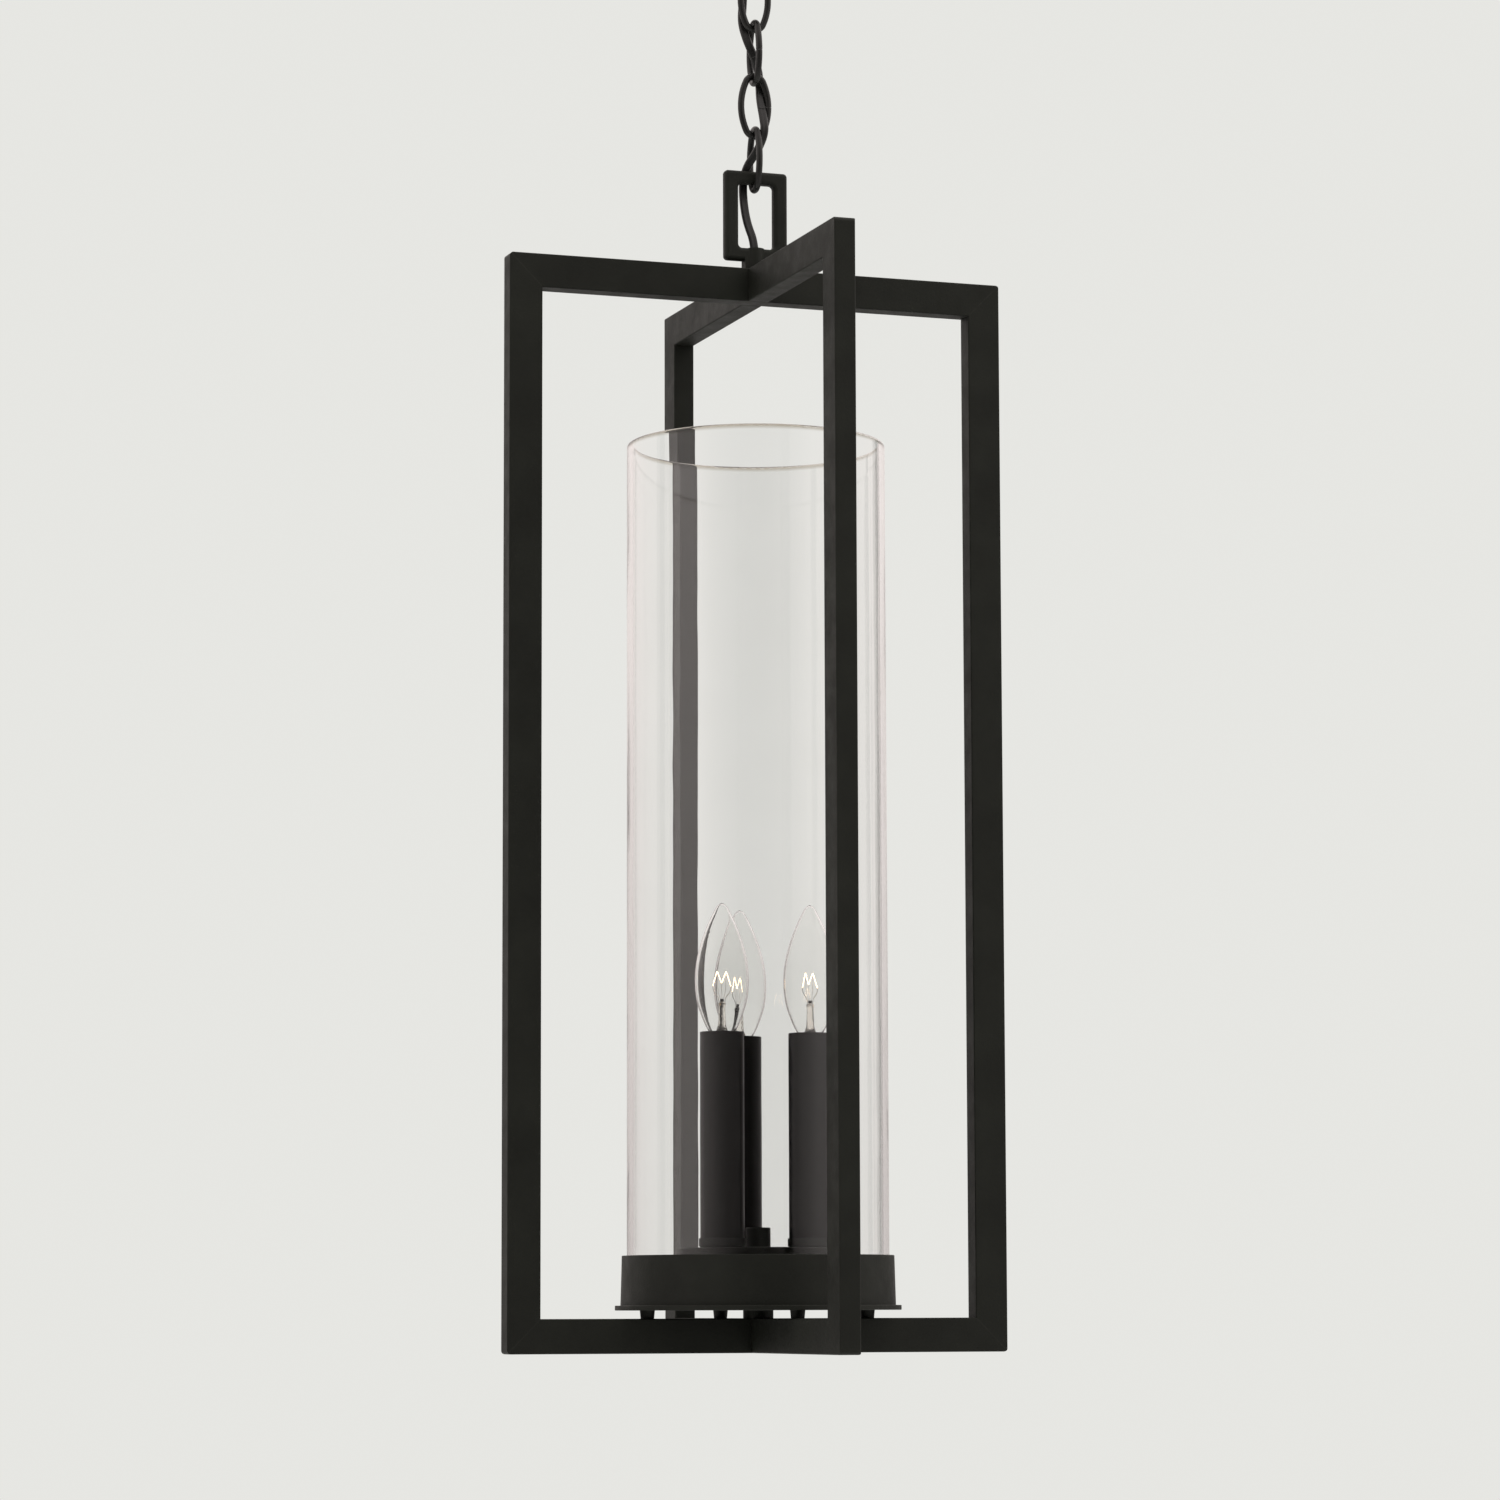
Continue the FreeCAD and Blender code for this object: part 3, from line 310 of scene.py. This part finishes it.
def ground_green():
    return coated("ground_green", dark=(0.02, 0.13, 0.035), light=(0.035, 0.19, 0.05),
                  edge_highlight=(0.35, 0.33, 0.22), rough=(0.28, 0.42), grain=900.0, depth=0.03 * MM,
                  specular=0.5)


def zinc():
    return metal("zinc", dark=(0.46, 0.45, 0.42), light=(0.62, 0.61, 0.56), rough=(0.24, 0.42),
                 scratch=900.0)


def brass():
    return metal("brass", dark=(0.62, 0.44, 0.20), light=(0.80, 0.62, 0.32), rough=(0.22, 0.38),
                 scratch=700.0)


def support_wire():
    return metal("support_wire", dark=(0.42, 0.38, 0.34), light=(0.62, 0.56, 0.50),
                 rough=(0.25, 0.40), scratch=2500.0)


def cap_orange():
    return plastic("cap_orange", dark=(0.50, 0.15, 0.03), light=(0.62, 0.21, 0.05),
                   rough=(0.38, 0.55))


def lead_white():
    return plastic("lead_white", dark=(0.60, 0.58, 0.53), light=(0.72, 0.70, 0.65),
                   rough=(0.42, 0.55))


def cord_black():
    return plastic("cord_black", dark=(0.006, 0.006, 0.006), light=(0.012, 0.012, 0.011),
                   rough=(0.30, 0.42), grain=700.0, depth=0.05 * MM, specular=0.5)


def nylon_black():
    return plastic("nylon_black", dark=(0.012, 0.012, 0.012), light=(0.022, 0.022, 0.021),
                   rough=(0.40, 0.55))


def phenolic():
    return plastic("phenolic", dark=(0.010, 0.009, 0.008), light=(0.022, 0.019, 0.016),
                   rough=(0.28, 0.40))


def felt():
    """Dark felt: speckled fibres and a little sheen."""
    made, tree, shader = new_material("felt")
    fibres = spread(tree, noise(tree, 900.0, 6.0), 0.0, 1.0)
    tree.links.new(blend_colours(tree, fibres, (0.008, 0.008, 0.008), (0.035, 0.034, 0.032)),
                   shader.inputs["Base Color"])
    tree.links.new(spread(tree, noise(tree, 300.0), 0.85, 1.0), shader.inputs["Roughness"])
    shader.inputs["Sheen Weight"].default_value = 0.3
    add_bump(tree, shader, noise(tree, 1800.0, 6.0), 0.4 * MM, 0.9)
    return made


def shade_glass():
    """Drawn glass with a fire-polished rim; a band just under the rim is tinted darker and browner as
    painted shade along the rim's edge.
    """
    made = clear("shade_glass", tint=(0.985, 0.983, 0.980), smudged=(0.968, 0.966, 0.962),
                 rough=(0.0, 0.02), wave=26.0, stretch=(1.0, 1.0, 0.35), depth=0.18 * MM, index=1.47)
    tree = made.node_tree
    shader = tree.nodes["Principled BSDF"]
    body = shader.inputs["Base Color"].links[0].from_socket
    rim = max(vertex.co.z for vertex in nodes["glass_cylinder"].data.vertices)
    coords = tree.nodes.new("ShaderNodeTexCoord")
    split = tree.nodes.new("ShaderNodeSeparateXYZ")
    tree.links.new(coords.outputs["Object"], split.inputs[0])
    # Painted shade: a band just under the rim is tinted darker and browner.
    rim_shade_mask = spread(tree, split.outputs["Z"], 0.0, 1.0, start=rim - 3.2 * MM, end=rim - 1.2 * MM)
    rim_shade_colour = (0.62, 0.57, 0.50)
    tree.links.new(blend_colours(tree, rim_shade_mask, body, rim_shade_colour), shader.inputs["Base Color"])
    return made


def lamp_glass():
    """Thin blown glass; its index is below real glass, which keeps the dark edge band thin."""
    made = clear("lamp_glass", tint=(0.985, 0.985, 0.980), smudged=(0.955, 0.955, 0.950),
                 rough=(0.0, 0.03), wave=80.0, stretch=(1.0, 1.0, 0.6), depth=0.1 * MM, index=1.20)
    made.node_tree.nodes["Principled BSDF"].inputs["Specular IOR Level"].default_value = 1.0
    return made


def stem_glass():
    """Pinched glass of a lamp's stem, wavier than its envelope; its index is also lowered."""
    return clear("stem_glass", tint=(1.0, 0.97, 0.93), smudged=(0.96, 0.88, 0.82),
                 rough=(0.02, 0.10), wave=900.0, stretch=(1.0, 1.0, 0.7), depth=0.5 * MM, index=1.38)


def hot_filament():
    """Glowing tungsten, uneven in heat along the coil."""
    made, tree, shader = new_material("hot_filament")
    shader.inputs["Metallic"].default_value = 1.0
    shader.inputs["Base Color"].default_value = (0.3, 0.28, 0.26, 1.0)
    uneven = spread(tree, noise(tree, 400.0), 0.0, 1.0)
    tree.links.new(blend_colours(tree, uneven, (1.0, 0.66, 0.34), (1.0, 0.80, 0.55)),
                   shader.inputs["Emission Color"])
    tree.links.new(spread(tree, noise(tree, 900.0), 4.0, 9.0), shader.inputs["Emission Strength"])
    tree.links.new(spread(tree, noise(tree, 1200.0), 0.3, 0.5), shader.inputs["Roughness"])
    return made


FINISHES = {
    "powder_black": powder_black(),
    "chain_black": chain_black(),
    "candle_sleeve": sleeve_black(),
    "zinc_steel": zinc(),
    "ground_green": ground_green(),
    "wire_cap": cap_orange(),
    "lead_insulation": lead_white(),
    "cord_black": cord_black(),
    "black_nylon": nylon_black(),
    "felt": felt(),
    "clear_glass": shade_glass(),
    "socket_phenolic": phenolic(),
    "lamp_glass": lamp_glass(),
    "lamp_cap": brass(),
    "stem_glass": stem_glass(),
}
HOT = hot_filament()
SUPPORT = support_wire()


def finish_cad_nodes():
    """Each CAD node's slots take the finish named by the record's slot."""
    for node in nodes.values():
        for place in node.material_slots:
            slot_name = place.material.name.split(".")[0]
            place.material = FINISHES[slot_name]


# ---------------------------------------------------------------- cord

# Control points of the cord's line from the top loop's boss to the canopy's threaded tube;
# metres across and along, and above the frame's foot.
CORD_ROUTE = [
    (0.0, 0.0, 0.6550),
    (0.0, 0.0, 0.6688),
    (-0.0044, 0.0024, 0.6820),
    (-0.0056, 0.0054, 0.6960),
    (-0.0053, 0.0072, 0.7089),
    (-0.0032, 0.0051, 0.7184),
    (0.0015, -0.0003, 0.7263),
    (0.0050, -0.0053, 0.7376),
    (0.0043, -0.0029, 0.7484),
    (0.0042, 0.0019, 0.7590),
    (0.0050, 0.0052, 0.7692),
    (0.0037, 0.0035, 0.7784),
    (-0.0005, 0.0007, 0.7863),
    (-0.0046, 0.0022, 0.7967),
    (-0.0065, 0.0054, 0.8078),
    (-0.0056, 0.0054, 0.8200),
    (-0.0051, 0.0053, 0.8330),
    (-0.0055, 0.0055, 0.8459),
    (-0.0055, 0.0055, 0.8580),
    (-0.0052, 0.0055, 0.8692),
    (-0.0031, 0.0027, 0.8800),
    (0.0, 0.0, 0.8915),
    (0.0, 0.0, 0.9070),
]
STRAND_RADIUS = 1.35 * MM
STRAND_APART = 1.25 * MM        # a strand's centre from the middle of the cord
GROOVE_START = 0.35             # in strand radii, from a strand's centre towards the middle


def twin_section():
    """Section of two insulated strands side by side with a shallow groove between them."""
    steps = 11
    open_angle = math.acos(GROOVE_START)
    section = []
    for side in (1, -1):
        for step in range(steps):
            angle = -math.pi + open_angle + (2 * math.pi - 2 * open_angle) * step / (steps - 1)
            section.append((side * (STRAND_APART + STRAND_RADIUS * math.cos(angle)),
                            side * STRAND_RADIUS * math.sin(angle)))
    return section


def cut_level(line, frames, low, high):
    """The stretch of a rising line between two levels, with its frames."""
    places = []
    ways = []

    def add_crossing(index, level):
        before = line[max(index - 1, 0)]
        after = line[index]
        if before.z < level < after.z:
            share = (level - before.z) / (after.z - before.z)
            places.append(before.lerp(after, share))
            ways.append(frames[index])

    for index, place in enumerate(line):
        add_crossing(index, low)
        if low <= place.z <= high:
            places.append(place)
            ways.append(frames[index])
        add_crossing(index, high)
    return places, ways


def add_cord():
    """Twin cord cut into one stretch at each hinge of the chain."""
    hinges = [joint for joint in frame["joints"] if joint["type"] == "hinge"
              and (joint["child"].startswith("chain_link") or joint["child"] == "lantern_frame")]
    hinges.sort(key=lambda joint: -joint["pos_m"][2])
    levels = [joint["pos_m"][2] for joint in hinges]
    line = spline_points([(x, y, frame_foot + z) for x, y, z in CORD_ROUTE])
    frames = frames_along(line, (1, 0, 0))
    ends = [line[-1].z + MM]
    ends += [(above + below) / 2 for above, below in zip(levels, levels[1:])]
    ends += [line[0].z - MM]
    for number, joint in enumerate(hinges):
        places, ways = cut_level(line, frames, ends[number + 1], ends[number])
        points, faces = sweep(places, ways, twin_section())
        piece = mesh_object("cord_stretch_%d" % (number + 1), points, faces, FINISHES["cord_black"])
        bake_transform(piece)
        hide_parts("supply_cord")


# ---------------------------------------------------------------- lamps

# Corners of the filament's M, in millimetres across, along and above the glass stem's top.
FILAMENT_CORNERS = [(-5.4, 0.0, 8.5), (-2.7, 0.9, 17.5), (0.0, 1.5, 10.5), (2.7, 0.9, 17.5),
                    (5.4, 0.0, 8.5)]
CORNER_SHARES = (0.0, 0.12, 0.5, 0.88)      # points along each limb, close to its rounded ends
COIL_RADIUS = 0.20 * MM
COIL_TURNS = 80
COIL_STEPS = 8                              # to a turn
COIL_WIRE = 0.07 * MM                       # radius, as are the next three
LEAD_WIRE = 0.20 * MM
SUPPORT_WIRE = 0.12 * MM
BUTTON_RADIUS = 1.1 * MM
FACINGS = {1: 0.35, 2: -0.15, 3: 0.25}      # each candle's filament, radians about Z


def coil_along(line, coil_radius, turns):
    """Helix of the given number of turns round a line."""
    frames = frames_along(line, (0, 1, 0))
    lengths = [0.0]
    for a, b in zip(line, line[1:]):
        lengths.append(lengths[-1] + (b - a).length)
    coil = []
    steps = turns * COIL_STEPS
    index = 0
    for step in range(steps + 1):
        at = lengths[-1] * step / steps
        while index < len(line) - 2 and lengths[index + 1] < at:
            index += 1
        share = (at - lengths[index]) / (lengths[index + 1] - lengths[index])
        place = line[index].lerp(line[index + 1], share)
        _, across, out = frames[index]
        angle = 2 * math.pi * turns * step / steps
        coil.append(place + (across * math.cos(angle) + out * math.sin(angle)) * coil_radius)
    return coil


def add_filament(number, facing):
    """Coiled filament in an M, held by two leads and three thinner wires out of the lamp's stem."""
    body = "lamp_%d" % number
    stem_low, stem_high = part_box("candle_%d_bulb_stem" % number)
    axis = Vector(((stem_low.x + stem_high.x) / 2, (stem_low.y + stem_high.y) / 2, 0))
    turn = Matrix.Rotation(facing, 4, "Z")

    def place(across, along, level):
        return axis + turn @ Vector((across, along, 0)) + Vector((0, 0, level))

    top = stem_high.z
    corners = [(x * MM, y * MM, top + z * MM) for x, y, z in FILAMENT_CORNERS]
    rounded = []
    for before, after in zip(corners, corners[1:]):
        for share in CORNER_SHARES:
            rounded.append([a + (b - a) * share for a, b in zip(before, after)])
    rounded.append(corners[-1])
    path = spline_points([place(*point) for point in rounded])
    coil = coil_along(path, COIL_RADIUS, COIL_TURNS)
    glow = wire("candle_%d_filament" % number, coil, COIL_WIRE, HOT, 6)
    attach(glow, body)
    button_ends = [place(0, 0, top - 0.6 * MM), place(0, 0, top + MM)]
    button = wire("candle_%d_button" % number, button_ends, BUTTON_RADIUS,
                  FINISHES["socket_phenolic"], 14)
    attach(button, body)
    for index, (x, y, z) in enumerate(corners):
        root_x = x * 0.30
        route = [(root_x, 0.0, top - 3 * MM), (root_x, 0.0, top + 1.5 * MM),
                 (x * 0.8, y * 0.7, top + 4.5 * MM), (x, y, z - 2 * MM), (x, y, z + 0.3 * MM)]
        line = spline_points([place(*point) for point in route], 6)
        thick = LEAD_WIRE if index in (0, len(corners) - 1) else SUPPORT_WIRE
        holder = wire("candle_%d_support_%d" % (number, index + 1), line, thick, SUPPORT, 6)
        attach(holder, body)


# ---------------------------------------------------------------- studio

FLOOR_LEVEL = -2.4
FLOOR_RADIUS = 6.0
FLOOR_SIDES = 72
BACKDROP = (0.795, 0.795, 0.765)
DARK_SIDE = (-0.331, -0.944, 0.0)           # the direction in which the surroundings are dimmest

CAMERA_LENS = 117.35                        # millimetres, on a sensor 36 mm square
CAMERA_PLACE = (-0.96652, -2.75605)         # across and along
CAMERA_RISE = 0.02627                       # above the frame's foot
CAMERA_TURNS = (-19.248, 6.5005, -0.163)    # degrees of yaw, pitch and roll


def add_floor():
    """Plain pale floor, a round sheet under the lantern."""
    made, tree, shader = new_material("pale_floor")
    mottle = spread(tree, noise(tree, 30.0), 0.0, 1.0)
    tree.links.new(blend_colours(tree, mottle, (0.655, 0.690, 0.675), (0.670, 0.705, 0.690)),
                   shader.inputs["Base Color"])
    tree.links.new(spread(tree, noise(tree, 8.0), 0.6, 0.75), shader.inputs["Roughness"])
    rim = [(x, y, FLOOR_LEVEL) for x, y in circle_section(FLOOR_RADIUS, FLOOR_SIDES)]
    mesh_object("floor", rim, [tuple(range(FLOOR_SIDES))], made, False)


def add_world():
    """A plain backdrop, seen directly or straight through glass, and for every other ray
    surroundings that are dimmer low down and towards DARK_SIDE."""
    world = bpy.data.worlds.new("studio")
    bpy.context.scene.world = world
    world.use_nodes = True
    tree = world.node_tree
    tree.nodes.clear()
    output = tree.nodes.new("ShaderNodeOutputWorld")
    seen = tree.nodes.new("ShaderNodeBackground")
    seen.inputs["Color"].default_value = (*BACKDROP, 1.0)
    lighting = tree.nodes.new("ShaderNodeBackground")
    coords = tree.nodes.new("ShaderNodeTexCoord")
    split = tree.nodes.new("ShaderNodeSeparateXYZ")
    tree.links.new(coords.outputs["Generated"], split.inputs[0])
    towards_dark = tree.nodes.new("ShaderNodeVectorMath")
    towards_dark.operation = "DOT_PRODUCT"
    towards_dark.inputs[1].default_value = DARK_SIDE
    tree.links.new(coords.outputs["Generated"], towards_dark.inputs[0])
    around = spread(tree, towards_dark.outputs["Value"], 0.88, 0.035, start=0.60, end=0.985)
    above = spread(tree, split.outputs["Z"], 0.45, 1.35, start=-0.12, end=0.35)
    strength = calculate(tree, "MULTIPLY", around, above)
    tree.links.new(strength, lighting.inputs["Strength"])
    across = spread(tree, split.outputs["X"], 0.0, 1.0, start=-1.0, end=1.0)
    tree.links.new(blend_colours(tree, across, (1.0, 0.915, 0.885), (1.0, 0.93, 0.90)),
                   lighting.inputs["Color"])
    path = tree.nodes.new("ShaderNodeLightPath")
    unreflected = calculate(tree, "LESS_THAN", path.outputs["Glossy Depth"], 0.5)
    straight = calculate(tree, "MULTIPLY", path.outputs["Is Transmission Ray"], unreflected)
    either = calculate(tree, "MAXIMUM", path.outputs["Is Camera Ray"], straight)
    mix = tree.nodes.new("ShaderNodeMixShader")
    tree.links.new(either, mix.inputs[0])
    tree.links.new(lighting.outputs[0], mix.inputs[1])
    tree.links.new(seen.outputs[0], mix.inputs[2])
    tree.links.new(mix.outputs[0], output.inputs["Surface"])


def add_softbox(name, place, target, width, height, power, colour=(1.0, 1.0, 1.0)):
    """Rectangular lamp that lights the pieces but is not itself seen, directly or in them."""
    data = bpy.data.lights.new(name, "AREA")
    data.shape = "RECTANGLE"
    data.size = width
    data.size_y = height
    data.energy = power
    data.color = colour
    lamp = link_object(name, data)
    lamp.location = place
    lamp.rotation_euler = (Vector(target) - Vector(place)).to_track_quat("-Z", "Y").to_euler()
    lamp.visible_camera = False
    lamp.visible_glossy = False
    lamp.visible_transmission = False


def add_lights():
    middle = (0.0, 0.0, (frame_foot + frame_head) / 2)
    add_softbox("left_softbox", (-2.2, -0.9, -0.3), middle, width=1.7, height=1.9, power=7.0,
                colour=(0.94, 1.0, 0.96))
    add_softbox("right_softbox", (2.0, -1.6, -0.4), middle, width=1.6, height=1.9, power=7.0)
    add_softbox("high_softbox", (0.3, -0.6, 1.6), middle, width=1.6, height=1.6, power=30.0)


def add_camera():
    """Long lens a little above the level of the frame's foot and left of its front, looking up."""
    data = bpy.data.cameras.new("camera")
    data.lens = CAMERA_LENS
    data.sensor_width = 36.0
    data.sensor_height = 36.0
    data.clip_end = 50.0
    camera = link_object("camera", data)
    turned, raised, rolled = [math.radians(turn) for turn in CAMERA_TURNS]
    camera.matrix_world = (Matrix.Translation((*CAMERA_PLACE, frame_foot + CAMERA_RISE))
                           @ Matrix.Rotation(turned, 4, "Z")
                           @ Matrix.Rotation(math.pi / 2 + raised, 4, "X")
                           @ Matrix.Rotation(rolled, 4, "Z"))
    bpy.context.scene.camera = camera


finish_cad_nodes()
add_cord()
for candle, facing in FACINGS.items():
    add_filament(candle, facing)
add_floor()
add_world()
add_lights()
add_camera()
bpy.context.scene.view_settings.view_transform = "Standard"
